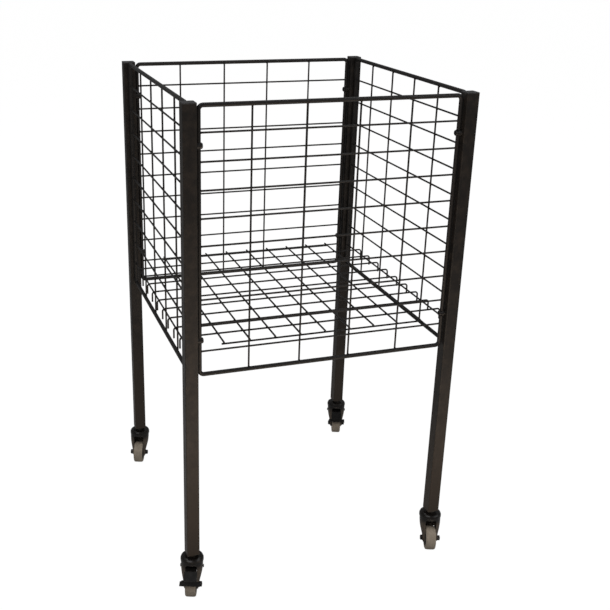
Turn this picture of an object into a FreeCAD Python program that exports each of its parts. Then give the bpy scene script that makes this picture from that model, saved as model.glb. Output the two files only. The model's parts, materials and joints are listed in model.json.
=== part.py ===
import FreeCAD, Part
import math
import os
from FreeCAD import Vector as V

# Wire dump bin on casters: four square-tube legs, four welded wire panels,
# a hook-on wire shelf as the basket floor, and four swivel casters, two braked.
# Millimetres. Origin: on the floor, at the centre of the leg square.
# +Z up, front of the bin towards -Y, +X to the right seen from the front.

# ---- driving dimensions ----------------------------------------------------
LEG = 25.0            # square leg tube, outside
LEG_WALL = 1.5
LEG_R = 2.0           # outside corner radius of the tube
PLANE = 262.5         # panel planes and leg centres, from the middle of the bin
LEG_BOTTOM = 85.0
TOP = 968.0           # top of the leg caps
CAP_T = 2.0           # flange thickness of a leg cap

ROD_R = 4.0           # 8 mm rim rod
WIRE_R = 1.75         # 3.5 mm grid wire
PANEL_H = 500.0       # outside height of a panel
CORNER_R = 8.0        # centreline radius of a rim corner
ROW = 50.0            # pitch of the cross wires
ROWS = 9
COL = 100.0           # pitch of the upright wires
COLS = 4
WELD = 0.2            # how far crossing wires are pressed into each other
FB_TOP = 966.0        # top of the front and back panels
LR_TOP = 968.0        # top of the side panels, flush with the leg tops
FB_HALF = 245.0       # rim centreline half width, front and back (bolted, 1 mm gap)
LR_HALF = 246.0       # rim centreline half width, sides (welded to the legs)
BOLT_INSET = 72.0     # bolt height from the panel's top and bottom edges

HOOKS = 9             # cross wires of the shelf that hook over the side panels
HOOK_PITCH = 49.3
HOOK_SHIFT = -6.5     # the shelf's wires clear the side panels' uprights
LONGS = 9             # long wires of the shelf
LONG_PITCH = 50.0
SHELF_X = 3.5         # the shelf hangs slid this far to the right in its hooks
LONG_BACK = 248.0     # the long wires run on past the rear cross wire to here
HOOK_R = 6.0          # centreline bend radius of a hook
HOOK_TAIL = 22.0      # how far a hook hangs below its top
HOOK_CLEAR = 0.3

SWIVEL_REST = -20.0   # all four casters trail the same way at rest
TRAIL = 20.0
WHEEL_R = 25.0
TYRE_W = 21.0
CORE_R = 18.5
AXLE_R = 3.0
RUN = 0.05            # radial running clearance
CROWN_R = 23.0
CROWN_TOP = 79.0
CROWN_BASE = 69.0
SLOT_TOP = 68.0
SLOT_HALF = 11.4
KING_R = 5.0
BRAKED = ("fl", "br")
PIVOT = (-2.0, 55.0)  # brake pivot (y, z) in the caster's own frame

os.makedirs("parts", exist_ok=True)
X, Y, Z = V(1, 0, 0), V(0, 1, 0), V(0, 0, 1)


def write(name, shape):
    if isinstance(shape, (list, tuple)):
        shape = Part.makeCompound(list(shape))
    shape.exportStep("parts/" + name + ".step")
    print(name, len(shape.Solids), round(shape.Volume, 1), shape.isValid())


def cyl(r, p, d, h):
    return Part.makeCylinder(r, h, p, d)


def rounded_square(half, r, z0, z1):
    b = Part.makeBox(2 * half, 2 * half, z1 - z0, V(-half, -half, z0))
    if r <= 0:
        return b
    edges = [e for e in b.Edges if abs(e.Vertexes[0].X - e.Vertexes[1].X) < 1e-6
             and abs(e.Vertexes[0].Y - e.Vertexes[1].Y) < 1e-6]
    return b.makeFillet(r, edges)


def path_tube(pts, r, bend):
    """Round wire along straight runs joined by tangent arcs of one radius."""
    segs, prev = [], pts[0]
    for i in range(1, len(pts) - 1):
        a, b, c = pts[i - 1], pts[i], pts[i + 1]
        u, w = (a - b).normalize(), (c - b).normalize()
        ang = u.getAngle(w)
        t = bend / math.tan(ang / 2)
        p, q = b + u * t, b + w * t
        m = (u + w).normalize()
        mid = b + m * (bend / math.sin(ang / 2) - bend)
        segs += [Part.makeLine(prev, p), Part.Arc(p, mid, q).toShape()]
        prev = q
    segs.append(Part.makeLine(prev, pts[-1]))
    wire = Part.Wire(segs)
    d = (pts[1] - pts[0]).normalize()
    prof = Part.Wire([Part.makeCircle(r, pts[0], d)])
    return wire.makePipeShell([prof], True, False)


# ---- legs --------------------------------------------------------------------
CORNERS = {"front_left": (-1, -1), "front_right": (1, -1),
           "back_left": (-1, 1), "back_right": (1, 1)}
SHORT = {"front_left": "fl", "front_right": "fr", "back_left": "bl", "back_right": "br"}
bolt_z = [FB_TOP - BOLT_INSET, FB_TOP - PANEL_H + BOLT_INSET]
inner = LEG / 2 - LEG_WALL
nut_plates = []
for name, (sx, sy) in CORNERS.items():
    at = V(sx * PLANE, sy * PLANE, 0)
    tube = rounded_square(LEG / 2, LEG_R, LEG_BOTTOM, TOP - CAP_T).cut(
        rounded_square(inner, LEG_R - LEG_WALL, LEG_BOTTOM - 1, TOP))
    for z in bolt_z:
        tube = tube.cut(cyl(3.55, V(0, 0, z), X * -sx, LEG))
    tube.translate(at)
    write("leg_" + name, tube)
    cap = rounded_square(LEG / 2, LEG_R, TOP - CAP_T, TOP)
    top_edges = [e for e in cap.Edges if min(v.Z for v in e.Vertexes) > TOP - 1e-6]
    cap = cap.makeChamfer(0.5, top_edges)
    plug = rounded_square(inner - 0.1, 0.4, TOP - CAP_T - 12, TOP - CAP_T).cut(
        rounded_square(inner - 1.8, 0, TOP - CAP_T - 13, TOP - CAP_T))
    cap = cap.fuse(plug)
    cap.translate(at)
    write("leg_cap_" + name, cap)
    plate = rounded_square(inner - 0.1, 0.4, LEG_BOTTOM, LEG_BOTTOM + 18).cut(
        cyl(KING_R, V(0, 0, LEG_BOTTOM - 1), Z, 30))
    plate.translate(at)
    nut_plates.append(plate)
write("leg_nut_plates", nut_plates)

# ---- wire panels ----------------------------------------------------------------
# A panel is drawn in its own plane: u across, z up, n towards the basket.


def rim(half, top, to3):
    z1, z0 = top - ROD_R, top - PANEL_H + ROD_R
    k = CORNER_R
    parts = []
    for z in (z0, z1):
        parts.append((to3(-half + k, z), to3(half - k, z)))
    for u in (-half, half):
        parts.append((to3(u, z0 + k), to3(u, z1 - k)))
    shapes = []
    for a, b in parts:
        shapes.append(cyl(ROD_R, a, (b - a).normalize(), (b - a).Length))
    n = (to3(1, 0) - to3(0, 0)).cross(Z)
    for su, zc, s in ((-1, z0, 1), (1, z0, 1), (1, z1, -1), (-1, z1, -1)):
        c = to3(su * (half - k), zc + s * k)
        start = to3(su * (half - k), zc)
        d = (to3(1, 0) - to3(0, 0)).normalize()
        face = Part.Face(Part.Wire([Part.makeCircle(ROD_R, start, d)]))
        # turn from the horizontal run to the upright run
        turn = -90 if su * s < 0 else 90
        shapes.append(face.revolve(c, n, turn))
    out = shapes[0].multiFuse(shapes[1:])
    return out.removeSplitter()


def panel(side, to3, half, top, bolted):
    ring = rim(half, top, to3)
    z1, z0 = top - ROD_R, top - PANEL_H + ROD_R
    first = z1 - (z1 - z0 - ROW * (ROWS - 1)) / 2
    du = (to3(1, 0) - to3(0, 0)).normalize()
    dn = (to3(0, 0, 1) - to3(0, 0)).normalize()
    cross, upright = [], []
    for i in range(ROWS):
        z = first - ROW * i
        w = cyl(WIRE_R, to3(-half + 0.5, z), du, 2 * half - 1)
        cross.append(max(w.cut(ring).Solids, key=lambda s: s.Volume))
    off = 2 * WIRE_R - WELD
    for j in range(COLS):
        u = (j - (COLS - 1) / 2) * COL
        w = cyl(WIRE_R, to3(u, z0, off), Z, z1 - z0)
        upright.append(max(w.cut(ring).Solids, key=lambda s: s.Volume))
    bolts = []
    if bolted:
        pads, holes = [], []
        for su in (-1, 1):
            for z in bolt_z:
                out = du * su
                a = to3(su * (half - 3.0), z)
                pads.append(cyl(6.5, a, out, 6.9))
                holes.append(cyl(2.6, to3(su * (half - 6), z), out, 14))
                holes.append(cyl(5.8, a - out * 5.0, out, 5.0))
                head = cyl(5.5, a - out * 4.0, out, 4.0)
                head = head.makeFillet(2.4, [e for e in head.Edges if e.Length > 30 and
                                             (e.CenterOfMass - (a - out * 4.0)).Length < 1.0])
                sock = Part.Face(Part.makePolygon(
                    [a - out * 4.1 + (dn * math.cos(k * math.pi / 3) + Z * math.sin(k * math.pi / 3)) * 1.9
                     for k in range(7)])).extrude(out * 2.1)
                bolts.append(head.cut(sock).fuse(cyl(2.5, a, out, 19)).removeSplitter())
        ring = ring.multiFuse(pads)
        for h in holes:
            ring = ring.cut(h)
        if ring.ShapeType == "Compound":
            ring = ring.Solids[0]
        ring = ring.removeSplitter()
    write(side + "_panel_rim", ring)
    write(side + "_panel_cross_wires", cross)
    write(side + "_panel_upright_wires", upright)
    if bolts:
        write(side + "_panel_bolts", bolts)
    return first


first_fb = panel("front", lambda u, z, n=0: V(u, -PLANE + n, z), FB_HALF, FB_TOP, True)
panel("back", lambda u, z, n=0: V(u, PLANE - n, z), FB_HALF, FB_TOP, True)
first_lr = panel("left", lambda u, z, n=0: V(-PLANE + n, u, z), LR_HALF, LR_TOP, False)
panel("right", lambda u, z, n=0: V(PLANE - n, u, z), LR_HALF, LR_TOP, False)

# rivet nuts in the legs' inner faces, one for each panel bolt
nuts = []
face_x = PLANE - LEG / 2
for sx in (-1, 1):
    for sy in (-1, 1):
        for z in bolt_z:
            p = V(sx * (face_x - 1.0), sy * PLANE, z)
            n = cyl(5.0, p, X * sx, 1.0).fuse(cyl(3.5, p, X * sx, 13.0))
            nuts.append(n.cut(cyl(2.52, p - X * sx, X * sx, 16)).removeSplitter())
write("rivet_nuts", nuts)

# ---- shelf ------------------------------------------------------------------------
row9 = first_lr - ROW * (ROWS - 1)
zh = row9 + 2 * WIRE_R + HOOK_CLEAR
tail_x = PLANE + 8.5
hooks = []
ys = [HOOK_SHIFT + HOOK_PITCH * (i - (HOOKS + 1) / 2) for i in range(HOOKS + 2)]
for i, y in enumerate(ys):
    if i in (0, HOOKS + 1):
        # the end wires stop at the outer long wires
        e = LONG_PITCH * (LONGS - 1) / 2 + 4
        hooks.append(cyl(WIRE_R, V(SHELF_X - e, y, zh), X, 2 * e))
    else:
        pts = [V(SHELF_X - tail_x, y, zh - HOOK_TAIL), V(SHELF_X - tail_x, y, zh),
               V(SHELF_X + tail_x, y, zh), V(SHELF_X + tail_x, y, zh - HOOK_TAIL)]
        hooks.append(path_tube(pts, WIRE_R, HOOK_R))
longs = []
for j in range(LONGS):
    x = SHELF_X + (j - (LONGS - 1) / 2) * LONG_PITCH
    # the long wires lie on top of the cross wires
    longs.append(cyl(WIRE_R, V(x, ys[0] - 1.5, zh + 2 * WIRE_R - WELD), Y, LONG_BACK - ys[0] + 1.5))
write("shelf_hook_wires", hooks)
write("shelf_long_wires", longs)

# ---- casters ------------------------------------------------------------------------
# Each is drawn with its swivel axis on Z and the wheel trailing towards -Y.


def ring_profile(pts):
    return Part.Face(Part.makePolygon([V(r, 0, z) for r, z in pts] + [V(pts[0][0], 0, pts[0][1])]))


def fork(braked):
    crown_pts = [(KING_R + RUN, CROWN_TOP), (16.5, CROWN_TOP), (19.6, CROWN_TOP - 0.9),
                 (21.8, CROWN_TOP - 2.9), (CROWN_R, CROWN_TOP - 6.0), (CROWN_R, CROWN_BASE),
                 (CROWN_R - 2.4, CROWN_BASE), (CROWN_R - 2.4, CROWN_TOP - 6.0),
                 (CROWN_R - 3.6, CROWN_TOP - 3.0), (KING_R + RUN, CROWN_TOP - 3.0)]
    crown = ring_profile(crown_pts).revolve(V(0, 0, 0), Z, 360)

    def bell(d):
        # hoods the wheel: leans from the crown's wall back to the axle, and draws in low down
        secs = [(73.0, 0.0, CROWN_R - 0.4, CROWN_R - 0.4), (56.0, -4.5, 21.6, 21.6), (44.0, -10.0, 19.6, 19.4),
                (34.0, -15.5, 17.0, 16.2), (23.0, -19.5, 14.9, 13.0), (12.0, -22.0, 13.6, 11.4)]
        wires = []
        for z, y, a, b in secs:
            e = Part.Ellipse(V(0, y, z), a - d, b - d - 0.001)
            wires.append(Part.Wire([e.toShape()]))
        return Part.makeLoft(wires, True, False)

    skirt = bell(0).cut(bell(2.2))
    k = 5.0
    slot = Part.makeBox(2 * SLOT_HALF, 82, SLOT_TOP - k, V(-SLOT_HALF, -80, 0))
    slot = slot.fuse(Part.makeBox(2 * (SLOT_HALF - k), 82, SLOT_TOP, V(k - SLOT_HALF, -80, 0)))
    for s in (-1, 1):
        slot = slot.fuse(cyl(k, V(s * (SLOT_HALF - k), -80, SLOT_TOP - k), Y, 82))
    slot = slot.fuse(cyl(WHEEL_R + 2.0, V(-SLOT_HALF, -TRAIL, WHEEL_R), X, 2 * SLOT_HALF))
    slot = slot.fuse(Part.makeBox(2 * SLOT_HALF, 160, 34, V(-SLOT_HALF, -80, 0)))
    skirt = skirt.cut(slot)
    keep = Part.makeBox(100, 120, 60, V(-50, -70, 25)).fuse(cyl(9.5, V(-50, -TRAIL, 25), X, 100))
    skirt = max(skirt.common(keep).Solids, key=lambda t: t.Volume)
    for s in (-1, 1):
        skirt = skirt.fuse(cyl(6.5, V(s * 11.6, -TRAIL, 25), X * s, 4.4))
    skirt = skirt.cut(cyl(AXLE_R + 0.02, V(-40, -TRAIL, 25), X, 80))
    if braked:
        skirt = skirt.cut(cyl(2.02, V(-40, PIVOT[0], PIVOT[1]), X, 80))
    return skirt.Solids[0].fuse(crown).Solids[0]


def hexagon(af, p, d, h, ref):
    r = af / math.sqrt(3)
    side = d.cross(ref)
    pts = [p + (ref * math.cos(k * math.pi / 3) + side * math.sin(k * math.pi / 3)) * r for k in range(7)]
    return Part.Face(Part.makePolygon(pts)).extrude(d * h)


def stem():
    s = cyl(KING_R, V(0, 0, CROWN_BASE), Z, CROWN_TOP + 0.2 - CROWN_BASE)
    s = s.fuse(cyl(17.5, V(0, 0, 68.0), Z, 2.8))
    s = s.fuse(cyl(9.0, V(0, 0, CROWN_TOP + 0.2), Z, 1.2))
    s = s.fuse(hexagon(17.0, V(0, 0, CROWN_TOP + 1.4), Z, LEG_BOTTOM - CROWN_TOP - 1.4, X))
    s = s.fuse(cyl(KING_R - 0.03, V(0, 0, LEG_BOTTOM - 0.5), Z, 22))
    return s.removeSplitter()


def balls():
    out = []
    for k in range(12):
        a = k * math.pi / 6
        out.append(Part.makeSphere(2.5, V(13.5 * math.cos(a), 13.5 * math.sin(a), 73.4)))
    return out


def turned(pts):
    """Ring about the wheel's axle: points are (x, r)."""
    p = [V(x, -TRAIL, WHEEL_R + r) for x, r in pts]
    return Part.Face(Part.makePolygon(p + [p[0]])).revolve(V(0, -TRAIL, WHEEL_R), X, 360)


def wheel_core():
    return turned([(-11.2, AXLE_R + RUN), (11.2, AXLE_R + RUN), (11.2, 6.4), (10.4, 7.2), (3.5, 8.2),
                   (3.0, 14.0), (8.6, 15.6), (9.6, 16.4), (9.6, CORE_R), (-9.6, CORE_R), (-9.6, 16.4),
                   (-8.6, 15.6), (-3.0, 14.0), (-3.5, 8.2), (-10.4, 7.2), (-11.2, 6.4)])


def tyre():
    h = TYRE_W / 2
    return turned([(-9.8, CORE_R), (9.8, CORE_R), (h, 19.6), (h, 22.6), (h - 0.5, 23.8), (h - 1.6, 24.6),
                   (h - 4.0, WHEEL_R), (-h + 4.0, WHEEL_R), (-h + 1.6, 24.6), (-h + 0.5, 23.8),
                   (-h, 22.6), (-h, 19.6)])


def axle_bolt():
    a = V(0, -TRAIL, WHEEL_R)
    b = cyl(AXLE_R, a - X * 16.0, X, 37.5)
    head = cyl(5.4, a - X * 20.4, X, 4.4)
    head = head.makeFillet(1.8, [e for e in head.Edges if abs(e.CenterOfMass.x + 20.4) < 0.01 and e.Length > 20])
    return b.fuse(head).removeSplitter()


def axle_nut():
    a = V(16.05, -TRAIL, WHEEL_R)
    n = hexagon(10.0, a, X, 4.8, Z)
    return n.cut(cyl(AXLE_R + 0.02, a - X, X, 8))


def sheet(pts, half, t=2.0):
    """Bent sheet: centreline points (y, z), thickness t, width 2*half."""
    out = []
    for (y0, z0), (y1, z1) in zip(pts[:-1], pts[1:]):
        d = V(0, y1 - y0, z1 - z0)
        L = d.Length
        b = Part.makeBox(2 * half, L, t, V(-half, 0, -t / 2))
        ang = math.degrees(math.atan2(z1 - z0, y1 - y0))
        b.rotate(V(0, 0, 0), X, ang)
        b.translate(V(0, y0, z0))
        out.append(b)
    for y, z in pts[1:-1]:
        out.append(cyl(t / 2, V(-half, y, z), X, 2 * half))
    return out


def pedal():
    top = sheet([(-7.0, 60.6), (-30.0, 60.0)], 10.8)
    slope = sheet([(-29.5, 60.0), (-43.5, 46.6)], 13.0)
    tab = sheet([(-43.0, 46.8), (-53.5, 44.6)], 20.0)
    ears = []
    for s in (-1, 1):
        pts = [V(0, -27, 60.5), V(0, -1.0, 60.5), V(0, 2.6, 55), V(0, -2, 50.8), V(0, -8, 53), V(0, -27, 57.6)]
        f = Part.Face(Part.makePolygon(pts + [pts[0]])).extrude(X * 2.0)
        f.translate(V(8.8 if s > 0 else -10.8, 0, 0))
        ears.append(f)
    corner = cyl(1.0, V(-13, -43.25, 46.7), X, 26)
    corner2 = cyl(1.0, V(-10.8, -29.75, 60.0), X, 21.6)
    p = top[0].multiFuse(top[1:] + slope + tab + ears + [corner, corner2])
    p = p.cut(cyl(2.08, V(-40, PIVOT[0], PIVOT[1]), X, 80))
    return p.removeSplitter()


def brake_pin():
    w = 21.95
    p = cyl(2.0, V(-w, PIVOT[0], PIVOT[1]), X, 2 * w)
    for s in (-1, 1):
        p = p.fuse(cyl(3.2, V(s * w, PIVOT[0], PIVOT[1]), X * s, 1.4))
    return p.removeSplitter()


for name, (sx, sy) in CORNERS.items():
    tag = SHORT[name]
    at = V(sx * PLANE, sy * PLANE, 0)

    def place(shape):
        s = shape.copy()
        s.rotate(V(0, 0, 0), Z, SWIVEL_REST)
        s.translate(at)
        return s

    s = stem()
    s.translate(at)
    write("caster_stem_" + tag, s)
    write("swivel_balls_" + tag, [b.translate(at) or b for b in balls()])
    write("caster_fork_" + tag, place(fork(tag in BRAKED)))
    write("wheel_core_" + tag, place(wheel_core()))
    write("tyre_" + tag, place(tyre()))
    write("axle_bolt_" + tag, place(axle_bolt()))
    write("axle_nut_" + tag, place(axle_nut()))
    if tag in BRAKED:
        write("brake_pedal_" + tag, place(pedal()))
        write("brake_pin_" + tag, place(brake_pin()))
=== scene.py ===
import json
import math

import bmesh
import bpy
from mathutils import Matrix, Vector, noise


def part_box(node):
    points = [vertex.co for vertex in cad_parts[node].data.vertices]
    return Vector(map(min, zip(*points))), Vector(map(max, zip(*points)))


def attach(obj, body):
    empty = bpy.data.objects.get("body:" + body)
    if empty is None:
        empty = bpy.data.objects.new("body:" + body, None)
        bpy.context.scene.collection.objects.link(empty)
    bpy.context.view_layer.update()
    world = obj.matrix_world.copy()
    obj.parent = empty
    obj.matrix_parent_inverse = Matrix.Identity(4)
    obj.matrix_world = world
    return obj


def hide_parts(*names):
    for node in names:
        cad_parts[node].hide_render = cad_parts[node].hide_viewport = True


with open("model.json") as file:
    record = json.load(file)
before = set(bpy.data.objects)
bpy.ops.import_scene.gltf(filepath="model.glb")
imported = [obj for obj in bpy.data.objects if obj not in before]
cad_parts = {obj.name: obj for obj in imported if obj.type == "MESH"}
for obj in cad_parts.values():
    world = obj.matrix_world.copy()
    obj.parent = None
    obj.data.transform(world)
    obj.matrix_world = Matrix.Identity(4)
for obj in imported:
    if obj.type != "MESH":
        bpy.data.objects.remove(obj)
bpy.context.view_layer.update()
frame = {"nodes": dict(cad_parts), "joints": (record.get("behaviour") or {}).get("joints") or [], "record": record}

scene = bpy.context.scene
nodes = frame["nodes"]
TAGS = ("fl", "fr", "bl", "br")
MM = 0.001


# ---------------------------------------------------------------- camera ----
def make_camera():
    yaw, pitch, roll = 0.3221, 0.3593, 0.0187
    fwd = Vector((math.sin(yaw) * math.cos(pitch), math.cos(yaw) * math.cos(pitch), -math.sin(pitch)))
    right = Vector((math.cos(yaw), -math.sin(yaw), 0))
    up = right.cross(fwd)
    r = right * math.cos(roll) + up * math.sin(roll)
    u = up * math.cos(roll) - right * math.sin(roll)
    m = Matrix((r, u, -fwd)).transposed().to_4x4()
    m.translation = Vector((-0.6333, -1.7616, 1.2252))
    data = bpy.data.cameras.new("camera")
    data.sensor_width = 36.0
    data.lens = 933.67 / 610 * 36
    data.shift_x, data.shift_y = 0.0749, -0.0306
    data.clip_start, data.clip_end = 0.05, 200
    cam = bpy.data.objects.new("camera", data)
    scene.collection.objects.link(cam)
    cam.matrix_world = m
    scene.camera = cam


make_camera()
scene.view_settings.view_transform = "Standard"
scene.view_settings.look = "None"


# ------------------------------------------------------------- materials ----
class Tree:
    """Short names for building one material's nodes."""

    def __init__(self, name):
        self.m = bpy.data.materials.new(name)
        self.m.use_nodes = True
        self.t = self.m.node_tree
        self.t.nodes.clear()
        self.out = self.t.nodes.new("ShaderNodeOutputMaterial")
        self.s = self.t.nodes.new("ShaderNodeBsdfPrincipled")
        self.link(self.s.outputs[0], self.out.inputs[0])
        tc = self.t.nodes.new("ShaderNodeTexCoord")
        self.co = tc.outputs["Object"]

    def link(self, a, b):
        self.t.links.new(a, b)

    def node(self, kind, **kw):
        n = self.t.nodes.new(kind)
        for k, v in kw.items():
            setattr(n, k, v)
        return n

    def put(self, socket, v):
        if hasattr(v, "is_linked") or hasattr(v, "links"):
            self.link(v, socket)
        else:
            socket.default_value = v

    def scaled(self, sx, sy, sz, source=None, offset=(0, 0, 0)):
        n = self.node("ShaderNodeMapping")
        n.inputs["Scale"].default_value = (sx, sy, sz)
        n.inputs["Location"].default_value = offset
        self.link(source or self.co, n.inputs["Vector"])
        return n.outputs[0]

    def noise(self, scale, detail=3.0, rough=0.5, vec=None, distortion=0.0):
        n = self.node("ShaderNodeTexNoise")
        n.inputs["Scale"].default_value = scale
        n.inputs["Detail"].default_value = detail
        n.inputs["Roughness"].default_value = rough
        n.inputs["Distortion"].default_value = distortion
        self.link(vec or self.co, n.inputs["Vector"])
        return n.outputs["Fac"]

    def voronoi(self, scale, feature="F1", vec=None, rand=1.0):
        n = self.node("ShaderNodeTexVoronoi", feature=feature)
        n.inputs["Scale"].default_value = scale
        n.inputs["Randomness"].default_value = rand
        self.link(vec or self.co, n.inputs["Vector"])
        return n.outputs["Distance"]

    def span(self, v, a, b, c=0.0, d=1.0, smooth=False):
        n = self.node("ShaderNodeMapRange", clamp=True)
        if smooth:
            n.interpolation_type = "SMOOTHSTEP"
        self.link(v, n.inputs["Value"])
        for k, x in (("From Min", a), ("From Max", b), ("To Min", c), ("To Max", d)):
            n.inputs[k].default_value = x
        return n.outputs[0]

    def math(self, op, a, b=None):
        n = self.node("ShaderNodeMath", operation=op)
        self.put(n.inputs[0], a)
        if b is not None:
            self.put(n.inputs[1], b)
        return n.outputs[0]

    def mix(self, fac, a, b):
        n = self.node("ShaderNodeMix", data_type="RGBA")
        self.put(n.inputs["Factor"], fac)
        for i, v in ((6, a), (7, b)):
            self.put(n.inputs[i], v if not isinstance(v, tuple) else (*v, 1.0))
        return n.outputs[2]

    def blend(self, fac, a, b):
        n = self.node("ShaderNodeMix", data_type="FLOAT")
        self.put(n.inputs[0], fac)
        self.put(n.inputs[2], a)
        self.put(n.inputs[3], b)
        return n.outputs[0]

    def bump(self, height, strength, distance, base=None):
        n = self.node("ShaderNodeBump")
        n.inputs["Strength"].default_value = strength
        n.inputs["Distance"].default_value = distance
        self.link(height, n.inputs["Height"])
        if base is not None:
            self.link(base, n.inputs["Normal"])
        return n.outputs[0]

    def height(self):
        n = self.node("ShaderNodeSeparateXYZ")
        self.link(self.co, n.inputs[0])
        return n.outputs[2]

    def edges(self, radius):
        """1 on the crest of an outside edge, 0 on flats."""
        b = self.node("ShaderNodeBevel", samples=4)
        b.inputs["Radius"].default_value = radius
        g = self.node("ShaderNodeNewGeometry")
        d = self.node("ShaderNodeVectorMath", operation="DOT_PRODUCT")
        self.link(b.outputs[0], d.inputs[0])
        self.link(g.outputs["Normal"], d.inputs[1])
        return self.span(d.outputs["Value"], 0.995, 0.90)

    def set(self, **kw):
        for k, v in kw.items():
            self.put(self.s.inputs[k.replace("_", " ")], v)


def powder_coat(name, dark, light, warm, rough, spec, grain=1100.0, grain_mm=0.05, wear=0.0, painted_floor_bounce=True):
    """Satin black powder coat: orange peel, soft mottling, rubbed edges, fine dust, and a painted warm floor-bounce
    glow on the lower part.
    """
    t = Tree(name)
    mottle = t.noise(5.5, 4.0, 0.6)
    fine = t.noise(70.0, 4.0, 0.6)
    col = t.mix(t.span(mottle, 0.35, 0.68), dark, light)
    col = t.mix(t.span(fine, 0.42, 0.74, 0.0, 0.35), col, warm)
    # painted light: a warm floor-bounce glow painted into the colour, strongest near the floor and gone by 0.42 m,
    # broken up by soft noise
    if painted_floor_bounce:
        low = t.span(t.height(), 0.42, 0.06, 0.0, 1.0, smooth=True)
        low = t.math("MULTIPLY", low, t.span(t.noise(9.0, 3.0), 0.2, 0.7, 0.75, 1.0))
        col = t.mix(low, col, warm)
    # fingerprints of handling: long pale scuffs along the piece
    scuff = t.noise(1.0, 3.0, 0.7, t.scaled(160, 160, 9), distortion=0.6)
    col = t.mix(t.span(scuff, 0.68, 0.78, 0.0, 0.30), col, tuple(min(1, c * 3.2 + 0.02) for c in warm))
    r = t.span(t.noise(38.0, 5.0, 0.65), 0.25, 0.75, rough - 0.07, rough + 0.09)
    r = t.blend(t.span(scuff, 0.66, 0.8, 0.0, 0.6), r, rough + 0.2)
    if wear > 0:
        e = t.edges(0.0009)
        m = t.math("MULTIPLY", e, t.span(t.noise(55.0, 5.0, 0.7), 0.50, 0.62, 0.0, wear))
        col = t.mix(m, col, (0.16, 0.15, 0.14))
        r = t.blend(m, r, 0.35)
    peel = t.noise(grain, 2.0, 0.5)
    peel2 = t.noise(grain * 0.22, 2.0, 0.5)
    b = t.bump(peel2, 0.35, grain_mm * 2.5 * MM)
    b = t.bump(peel, 0.45, grain_mm * MM, b)
    t.set(Base_Color=col, Roughness=r, Normal=b)
    t.s.inputs["Specular IOR Level"].default_value = spec
    return t.m


def moulded(name, a, b_, rough, spec=0.4, grain=1700.0, depth=0.04, wear=0.0):
    """Moulded plastic with a fine spark-eroded texture."""
    t = Tree(name)
    col = t.mix(t.span(t.noise(35.0, 4.0, 0.6), 0.3, 0.72), a, b_)
    r = t.span(t.noise(120.0, 4.0), 0.3, 0.7, rough - 0.08, rough + 0.1)
    if wear:
        e = t.edges(0.0007)
        m = t.math("MULTIPLY", e, t.span(t.noise(180.0, 4.0), 0.45, 0.6, 0.0, wear))
        col = t.mix(m, col, tuple(c * 3.5 + 0.03 for c in b_))
    g = t.voronoi(grain)
    n = t.bump(t.noise(90.0, 3.0), 0.25, 0.12 * MM)
    n = t.bump(g, 0.5, depth * MM, n)
    t.set(Base_Color=col, Roughness=r, Normal=n)
    t.s.inputs["Specular IOR Level"].default_value = spec
    return t.m


def metal(name, a, b_, rough, grain=(900, 900, 60), spots=0.0, depth=0.02):
    """Plated or bare steel with drawn lines and dull spots."""
    t = Tree(name)
    col = t.mix(t.span(t.noise(90.0, 4.0, 0.6), 0.3, 0.7), a, b_)
    drawn = t.noise(1.0, 4.0, 0.6, t.scaled(*grain))
    r = t.span(drawn, 0.25, 0.75, rough - 0.08, rough + 0.12)
    if spots:
        sp = t.span(t.noise(420.0, 5.0, 0.7), 0.62, 0.72, 0.0, spots)
        col = t.mix(sp, col, (0.10, 0.085, 0.07))
        r = t.blend(sp, r, 0.7)
    t.set(Base_Color=col, Roughness=r, Normal=t.bump(drawn, 0.35, depth * MM))
    t.s.inputs["Metallic"].default_value = 1.0
    return t.m


def enamel(name, a, b_, rough, wear, spec=0.30, coat=0.05, dust_and_bounce_at=(0.068, 0.052), dust_and_bounce_colour=(0.135, 0.104, 0.077)):
    """Glossy dipped enamel on pressed steel, chipped at the edges; towards the bottom lighter and dulled by dust
    together with painted light.
    """
    t = Tree(name)
    col = t.mix(t.span(t.noise(45.0, 4.0, 0.6), 0.3, 0.7), a, b_)
    # dust plus painted light: the lowest band is lifted to a lighter colour and dulled, standing for dust together
    # with painted warm floor-bounce light on the fork's lower cheeks and a painted highlight on the brake's foot bar
    dust = t.math("MULTIPLY", t.span(t.noise(150.0, 5.0, 0.65), 0.30, 0.72, 0.30, 0.85),
                  t.span(t.height(), dust_and_bounce_at[0], dust_and_bounce_at[1], smooth=True))
    col = t.mix(dust, col, dust_and_bounce_colour)
    r = t.span(t.noise(110.0, 4.0), 0.3, 0.7, rough - 0.05, rough + 0.10)
    r = t.blend(dust, r, 0.75)
    e = t.edges(0.0006)
    m = t.math("MULTIPLY", e, t.span(t.noise(260.0, 4.0, 0.7), 0.46, 0.6, 0.0, wear))
    col = t.mix(m, col, (0.22, 0.20, 0.18))
    n = t.bump(t.noise(260.0, 3.0, 0.5), 0.3, 0.10 * MM)
    t.set(Base_Color=col, Roughness=r, Normal=n)
    t.s.inputs["Specular IOR Level"].default_value = spec
    t.s.inputs["Coat Weight"].default_value = coat
    t.s.inputs["Coat Roughness"].default_value = 0.10
    return t.m


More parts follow.
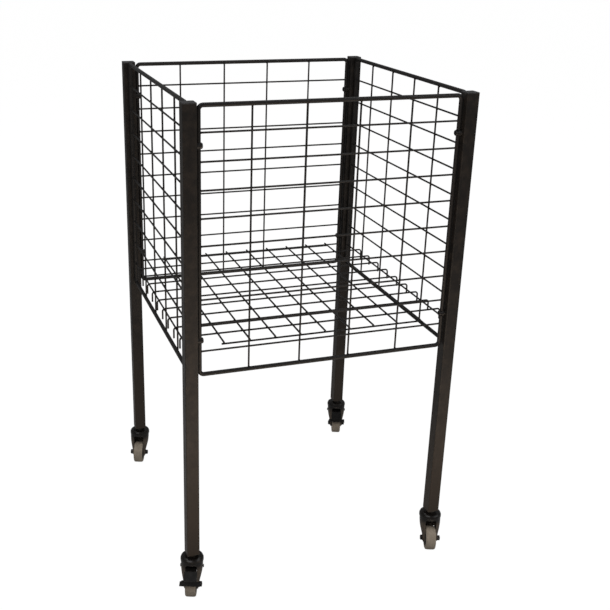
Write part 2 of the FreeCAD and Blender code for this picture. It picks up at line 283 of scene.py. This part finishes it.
def rubber(name):
    """Grey tread rubber: rolled-in dust, small nicks and a parting line's worth of grain."""
    t = Tree(name)
    base = t.mix(t.span(t.noise(60.0, 5.0, 0.65), 0.3, 0.72), (0.235, 0.195, 0.150), (0.37, 0.31, 0.243))
    dust = t.span(t.noise(320.0, 5.0, 0.7), 0.50, 0.66, 0.0, 0.55)
    col = t.mix(dust, base, (0.38, 0.325, 0.265))
    nick = t.span(t.voronoi(260.0), 0.10, 0.03, 0.0, 0.7)
    col = t.mix(nick, col, (0.03, 0.028, 0.026))
    r = t.span(t.noise(200.0, 4.0), 0.3, 0.7, 0.55, 0.8)
    n = t.bump(t.noise(700.0, 4.0, 0.6), 0.5, 0.12 * MM)
    n = t.bump(t.math("SUBTRACT", 1.0, nick), 0.4, 0.2 * MM, n)
    t.set(Base_Color=col, Roughness=r, Normal=n)
    t.s.inputs["Specular IOR Level"].default_value = 0.35
    return t.m


MATS = {
    # tube: the warm glow on the lower legs is painted floor-bounce light
    "powder_coat_tube": powder_coat("powder_coat_tube", (0.0075, 0.0066, 0.0062), (0.0115, 0.0098, 0.0090),
                                    (0.043, 0.0325, 0.0245), 0.42, 0.20, wear=0.55),
    "powder_coat_rod": powder_coat("powder_coat_rod", (0.0070, 0.0064, 0.0064), (0.0120, 0.0105, 0.0100),
                                   (0.017, 0.0145, 0.0130), 0.40, 0.25, grain=1300.0, painted_floor_bounce=False),
    "powder_coat_wire": powder_coat("powder_coat_wire", (0.0075, 0.0070, 0.0070), (0.0135, 0.0120, 0.0115),
                                    (0.018, 0.0155, 0.0140), 0.40, 0.25, grain=1500.0, grain_mm=0.04, painted_floor_bounce=False),
    "cap_plastic": moulded("cap_plastic", (0.016, 0.0155, 0.016), (0.026, 0.025, 0.026), 0.50, 0.35, wear=0.4),
    "zinc_steel": metal("zinc_steel", (0.50, 0.50, 0.48), (0.62, 0.61, 0.58), 0.32, spots=0.4),
    "black_bolt": metal("black_bolt", (0.022, 0.021, 0.022), (0.050, 0.047, 0.046), 0.36, grain=(600, 600, 600), spots=0.25),
    "stem_steel": metal("stem_steel", (0.075, 0.068, 0.062), (0.13, 0.12, 0.11), 0.38, grain=(300, 300, 900), spots=0.4),
    "bearing_steel": metal("bearing_steel", (0.55, 0.54, 0.52), (0.66, 0.65, 0.63), 0.16, grain=(400, 400, 400)),
    # fork: the warm lower band is dust plus painted floor-bounce light on the cheeks
    "fork_enamel": enamel("fork_enamel", (0.0048, 0.0040, 0.0036), (0.0115, 0.0093, 0.0080), 0.19, 0.6),
    # brake: the lighter grey lower band is dust plus a painted highlight on the foot bar
    "brake_enamel": enamel("brake_enamel", (0.0040, 0.0037, 0.0036), (0.0085, 0.0075, 0.0070), 0.36, 0.75, spec=0.14, coat=0.0,
                           dust_and_bounce_at=(0.046, 0.038), dust_and_bounce_colour=(0.130, 0.122, 0.115)),
    "wheel_plastic": moulded("wheel_plastic", (0.014, 0.0125, 0.0115), (0.027, 0.0235, 0.021), 0.45, 0.4),
    "tyre_rubber": rubber("tyre_rubber"),
}


def dress():
    for part in frame["record"]["subparts"]:
        o = nodes[part["node"]]
        o.data.materials.clear()
        o.data.materials.append(MATS[part["material_slot"]])


dress()


# ---------------------------------------------------------- new piece kit ----
def piece(name, bm, body, slot, smooth=True):
    bmesh.ops.recalc_face_normals(bm, faces=bm.faces)
    me = bpy.data.meshes.new(name)
    bm.to_mesh(me)
    bm.free()
    for p in me.polygons:
        p.use_smooth = smooth
    o = bpy.data.objects.new(name, me)
    scene.collection.objects.link(o)
    me.materials.append(MATS[slot])
    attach(o, body)
    return o


def blob(bm, c, rx, ry, rz, seed, axes=None, sub=1, rough=0.12):
    """A welded lump: an uneven ellipsoid, radii along the three axes."""
    g = bmesh.ops.create_icosphere(bm, subdivisions=sub, radius=1.0)
    ax = axes or (Vector((1, 0, 0)), Vector((0, 1, 0)), Vector((0, 0, 1)))
    for v in g["verts"]:
        k = 1 + rough * noise.noise(v.co * 1.7 + Vector((seed * 1.37, seed * 0.61, 3.1)))
        p = v.co * k
        v.co = c + ax[0] * p.x * rx + ax[1] * p.y * ry + ax[2] * p.z * rz


def wires(node):
    """The straight runs of a node of separate wires: (lowest corner, highest corner) of each."""
    me = nodes[node].data
    n = len(me.vertices)
    root = list(range(n))

    def find(i):
        while root[i] != i:
            root[i] = root[root[i]]
            i = root[i]
        return i

    near = {}
    for i, v in enumerate(me.vertices):  # vertices split for shading count as one
        k = (round(v.co.x, 5), round(v.co.y, 5), round(v.co.z, 5))
        if k in near:
            root[find(i)] = find(near[k])
        else:
            near[k] = i
    for e in me.edges:
        a, b = find(e.vertices[0]), find(e.vertices[1])
        if a != b:
            root[a] = b
    out = {}
    for i, v in enumerate(me.vertices):
        r = find(i)
        if r not in out:
            out[r] = [v.co.copy(), v.co.copy()]
        for k in range(3):
            out[r][0][k] = min(out[r][0][k], v.co[k])
            out[r][1][k] = max(out[r][1][k], v.co[k])
    return sorted(out.values(), key=lambda t: tuple((t[0] + t[1])[:]))


def collar(bm, at, axis, r0, r1, length, seed, sides=10):
    """A weld fillet round a wire's end: wide at `at`, fading out along axis."""
    side = axis.orthogonal().normalized()
    other = axis.cross(side)
    rings = []
    for i in range(5):
        f = i / 4
        r = r1 + (r0 - r1) * (1 - f) ** 2
        ring = []
        for k in range(sides):
            t = 2 * math.pi * k / sides
            w = 1 + 0.10 * noise.noise(Vector((seed * 2.1, k * 0.9, i * 0.5)))
            ring.append(bm.verts.new(at + axis * (length * f) + (side * math.cos(t) + other * math.sin(t)) * r * w))
        rings.append(ring)
    for p, q in zip(rings, rings[1:]):
        for k in range(sides):
            bm.faces.new((p[k], p[(k + 1) % sides], q[(k + 1) % sides], q[k]))
    bm.faces.new(list(reversed(rings[0])))
    bm.faces.new(rings[-1])


def bead(bm, a, b, r, out, seed, sides=8):
    """A stitch weld: overlapping ripples laid from a to b, bulging towards out."""
    axis = (b - a).normalized()
    side = axis.cross(out).normalized()
    L = (b - a).length
    n = max(8, int(L / (0.42 * MM)))
    rings = []
    for i in range(n + 1):
        f = i / n
        ripple = 1 + 0.13 * (1 - ((i * 0.42) % 1.7) / 1.7)
        end = min(1.0, math.sqrt(max(0.0, min(f, 1 - f) * L / (1.6 * MM))))
        w = ripple * (0.35 + 0.65 * end) * (1 + 0.10 * noise.noise(Vector((seed * 3.3, i * 0.21, 0.0))))
        c = a.lerp(b, f) + side * (0.25 * MM * noise.noise(Vector((seed * 1.7, i * 0.12, 5.0))))
        rings.append([bm.verts.new(c + (out * math.cos(t) + side * math.sin(t)) * r * w)
                      for t in (2 * math.pi * k / sides for k in range(sides))])
    for p, q in zip(rings, rings[1:]):
        for k in range(sides):
            bm.faces.new((p[k], p[(k + 1) % sides], q[(k + 1) % sides], q[k]))
    bm.faces.new(list(reversed(rings[0])))
    bm.faces.new(rings[-1])


# ----------------------------------------------------------- weld details ----
def panel_welds(side):
    ax = 0 if side in ("front", "back") else 1          # along the panel
    nx = 1 - ax                                         # through the panel
    cross = wires(side + "_panel_cross_wires")
    ups = wires(side + "_panel_upright_wires")
    rim_lo, rim_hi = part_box(side + "_panel_rim")
    bm = bmesh.new()
    seed = {"front": 11, "back": 23, "left": 37, "right": 51}[side]
    for i, (lo, hi) in enumerate(cross):
        c = (lo + hi) / 2
        for j, (ul, uh) in enumerate(ups):
            u = (ul + uh) / 2
            p = Vector((0, 0, c.z))
            p[ax] = u[ax]
            p[nx] = (c[nx] + u[nx]) / 2
            r = [2.35 * MM] * 3
            r[nx] = 1.25 * MM
            blob(bm, p, r[0], r[1], r[2], seed + i * 7 + j, sub=2, rough=0.16)
        for end, sgn in ((lo, 1), (hi, -1)):
            p = c.copy()
            p[ax] = end[ax] - sgn * 0.6 * MM
            d = Vector((0, 0, 0))
            d[ax] = sgn
            collar(bm, p, d, 2.75 * MM, 1.77 * MM, 3.2 * MM, seed + i * 3.1 + sgn)
    for j, (lo, hi) in enumerate(ups):
        u = (lo + hi) / 2
        for z, sgn in ((rim_lo.z + 4 * MM, 1), (rim_hi.z - 4 * MM, -1)):
            p = Vector((0, 0, z + sgn * 2.6 * MM))
            p[ax] = u[ax]
            p[nx] = u[nx] + 0.55 * ((rim_lo[nx] + rim_hi[nx]) / 2 - u[nx])
            r = [2.6 * MM] * 3
            r[nx] = 1.7 * MM
            blob(bm, p, r[0], r[1], r[2], seed + j * 5 + sgn, sub=2, rough=0.16)
    return piece(side + "_panel_welds", bm, "frame", "powder_coat_wire")


def shelf_welds():
    hooks = wires("shelf_hook_wires")
    longs = wires("shelf_long_wires")
    bm = bmesh.new()
    for i, (lo, hi) in enumerate(hooks):
        for j, (ul, uh) in enumerate(longs):
            p = Vector(((ul.x + uh.x) / 2, (lo.y + hi.y) / 2, (hi.z + ul.z) / 2))
            blob(bm, p, 2.35 * MM, 2.35 * MM, 1.25 * MM, 71 + i * 9 + j, sub=2, rough=0.16)
    return piece("shelf_welds", bm, "shelf", "powder_coat_wire")


def stitch_welds():
    """The side panels' upright rods are stitch welded to the legs, inside and outside."""
    bm = bmesh.new()
    k = 0
    for side in ("left", "right"):
        lo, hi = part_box(side + "_panel_rim")
        x = (lo.x + hi.x) / 2
        for y, sy in ((lo.y, -1), (hi.y, 1)):
            for face in (-1, 1):
                for z0 in (lo.z + 22 * MM, lo.z + 165 * MM, lo.z + 318 * MM, lo.z + 456 * MM):
                    k += 1
                    z = z0 + 6 * MM * noise.noise(Vector((k * 1.31, 2.0, 0.0)))
                    L = (19 + 5 * noise.noise(Vector((k * 0.77, 9.0, 0.0)))) * MM
                    c = Vector((x + face * 2.9 * MM, y - sy * 1.0 * MM, z))
                    out = Vector((face * 1.0, -sy * 0.55, 0)).normalized()
                    bead(bm, c, c + Vector((0, 0, L)), 1.45 * MM, out, k)
    return piece("leg_stitch_welds", bm, "frame", "powder_coat_rod")


for side in ("front", "back", "left", "right"):
    panel_welds(side)
shelf_welds()
stitch_welds()


# ------------------------------------------------------------------ wheels ----
def spin(name, profile, centre, axis, body, slot, seg=96, wobble=None, closed=True):
    """A turned piece: profile is (along the axle, radius) in mm, closed into a ring."""
    axis = axis.normalized()
    up = Vector((0, 0, 1))
    fwd = axis.cross(up).normalized()
    bm = bmesh.new()
    rings = []
    for k in range(seg):
        t = 2 * math.pi * k / seg
        d = up * math.cos(t) + fwd * math.sin(t)
        ring = []
        for i, (a, r) in enumerate(profile):
            rr = r + (wobble(a, r, t) if wobble else 0.0)
            ring.append(bm.verts.new(centre + axis * (a * MM) + d * (rr * MM)))
        rings.append(ring)
    m = len(profile)
    for k in range(seg):
        p, q = rings[k], rings[(k + 1) % seg]
        for i in range(m if closed else m - 1):
            bm.faces.new((p[i], p[(i + 1) % m], q[(i + 1) % m], q[i]))
    return piece(name, bm, body, slot)


def tyre_skin(tag, joint):
    """The tread band: flat face with worn shoulders, a parting line and small nicks."""
    centre, axis = Vector(joint["pos_m"]), Vector(joint["axis"])
    seed = {"fl": 3.0, "fr": 17.0, "bl": 29.0, "br": 41.0}[tag]
    prof = [(-9.8, 18.45), (-10.1, 18.9), (-10.5, 19.5), (-10.5, 21.2), (-10.35, 22.6), (-9.95, 23.5), (-9.3, 24.15),
            (-8.4, 24.55), (-7.2, 24.78), (-5.6, 24.88), (-3.8, 24.93), (-2.0, 24.95), (-0.55, 24.95), (-0.2, 25.0),
            (0.2, 25.0), (0.55, 24.95), (2.0, 24.95), (3.8, 24.93), (5.6, 24.88), (7.2, 24.78), (8.4, 24.55),
            (9.3, 24.15), (9.95, 23.5), (10.35, 22.6), (10.5, 21.2), (10.5, 19.5), (10.1, 18.9), (9.8, 18.45)]

    def wobble(a, r, t):
        if r < 23.0:
            return 0.0
        p = Vector((math.cos(t) * 6 + seed, math.sin(t) * 6, a * 0.35))
        v = 0.05 * noise.noise(p)
        nick = noise.noise(Vector((math.cos(t) * 21, math.sin(t) * 21 + seed, a * 0.9)))
        return min(0.0, v - 0.03 - (0.35 * (nick - 0.42) if nick > 0.42 else 0.0))

    o = spin("tyre_tread_" + tag, prof, centre, axis, "wheel_" + tag, "tyre_rubber", 128, wobble)
    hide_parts("tyre_" + tag)


joints = {j["name"]: j for j in frame["joints"]}
for tag in TAGS:
    tyre_skin(tag, joints["roll_" + tag])


# ----------------------------------------------------------------- stage ----
def light_path(tree):
    return tree.nodes.new("ShaderNodeLightPath").outputs["Is Camera Ray"]


def make_stage():
    bm = bmesh.new()
    s = 60
    vs = [bm.verts.new(p) for p in ((-s, -s, 0), (s, -s, 0), (s, s, 0), (-s, s, 0))]
    bm.faces.new(vs)
    me = bpy.data.meshes.new("floor")
    bm.to_mesh(me)
    bm.free()
    floor = bpy.data.objects.new("floor", me)
    scene.collection.objects.link(floor)
    t = Tree("floor_paint")
    pale = t.mix(t.span(t.noise(3.0, 3.0), 0.3, 0.7), (0.52, 0.52, 0.515), (0.55, 0.55, 0.545))
    t.set(Base_Color=t.mix(light_path(t.t), pale, (0.055, 0.055, 0.055)))
    t.s.inputs["Roughness"].default_value = 0.9
    t.s.inputs["Specular IOR Level"].default_value = 0.0
    t.s.inputs["Emission Color"].default_value = (1, 1, 1, 1)
    n = t.node("ShaderNodeMath", operation="MULTIPLY")
    t.link(light_path(t.t), n.inputs[0])
    n.inputs[1].default_value = 0.985
    t.link(n.outputs[0], t.s.inputs["Emission Strength"])
    me.materials.append(t.m)
    world = bpy.data.worlds.new("world")
    world.use_nodes = True
    wt = world.node_tree
    bg = wt.nodes["Background"]
    bg.inputs[0].default_value = (1, 1, 1, 1)
    mr = wt.nodes.new("ShaderNodeMapRange")
    wt.links.new(light_path(wt), mr.inputs["Value"])
    mr.inputs["To Min"].default_value = WORLD
    mr.inputs["To Max"].default_value = 1.0
    wt.links.new(mr.outputs[0], bg.inputs[1])
    scene.world = world


def area(name, at, target, size, power, colour=(1, 1, 1), size_y=None, spread=180):
    d = bpy.data.lights.new(name, "AREA")
    d.shape = "RECTANGLE"
    d.size, d.size_y = size, size_y or size
    d.energy = power
    d.color = colour
    d.spread = math.radians(spread)
    o = bpy.data.objects.new(name, d)
    scene.collection.objects.link(o)
    o.location = at
    o.rotation_mode = "QUATERNION"
    o.rotation_quaternion = (Vector(target) - Vector(at)).to_track_quat("-Z", "Y")
    o.visible_camera = False
    return o


WORLD = 0.22
make_stage()
area("key", (-2.2, -1.9, 3.2), (0, 0, 0.3), 2.6, 42)
area("fill", (2.6, -1.8, 2.4), (0, 0, 0.5), 2.2, 16)
area("top", (0.2, 0.9, 3.8), (0, 0.2, 0.0), 2.8, 38)
area("glint", (1.5, -2.6, 2.3), (0, 0, 0.1), 0.40, 9)
area("bounce", (-0.45, -1.0, 0.02), (-0.45, -1.0, 1.0), 2.2, 15, (1.0, 0.80, 0.62), 0.8)
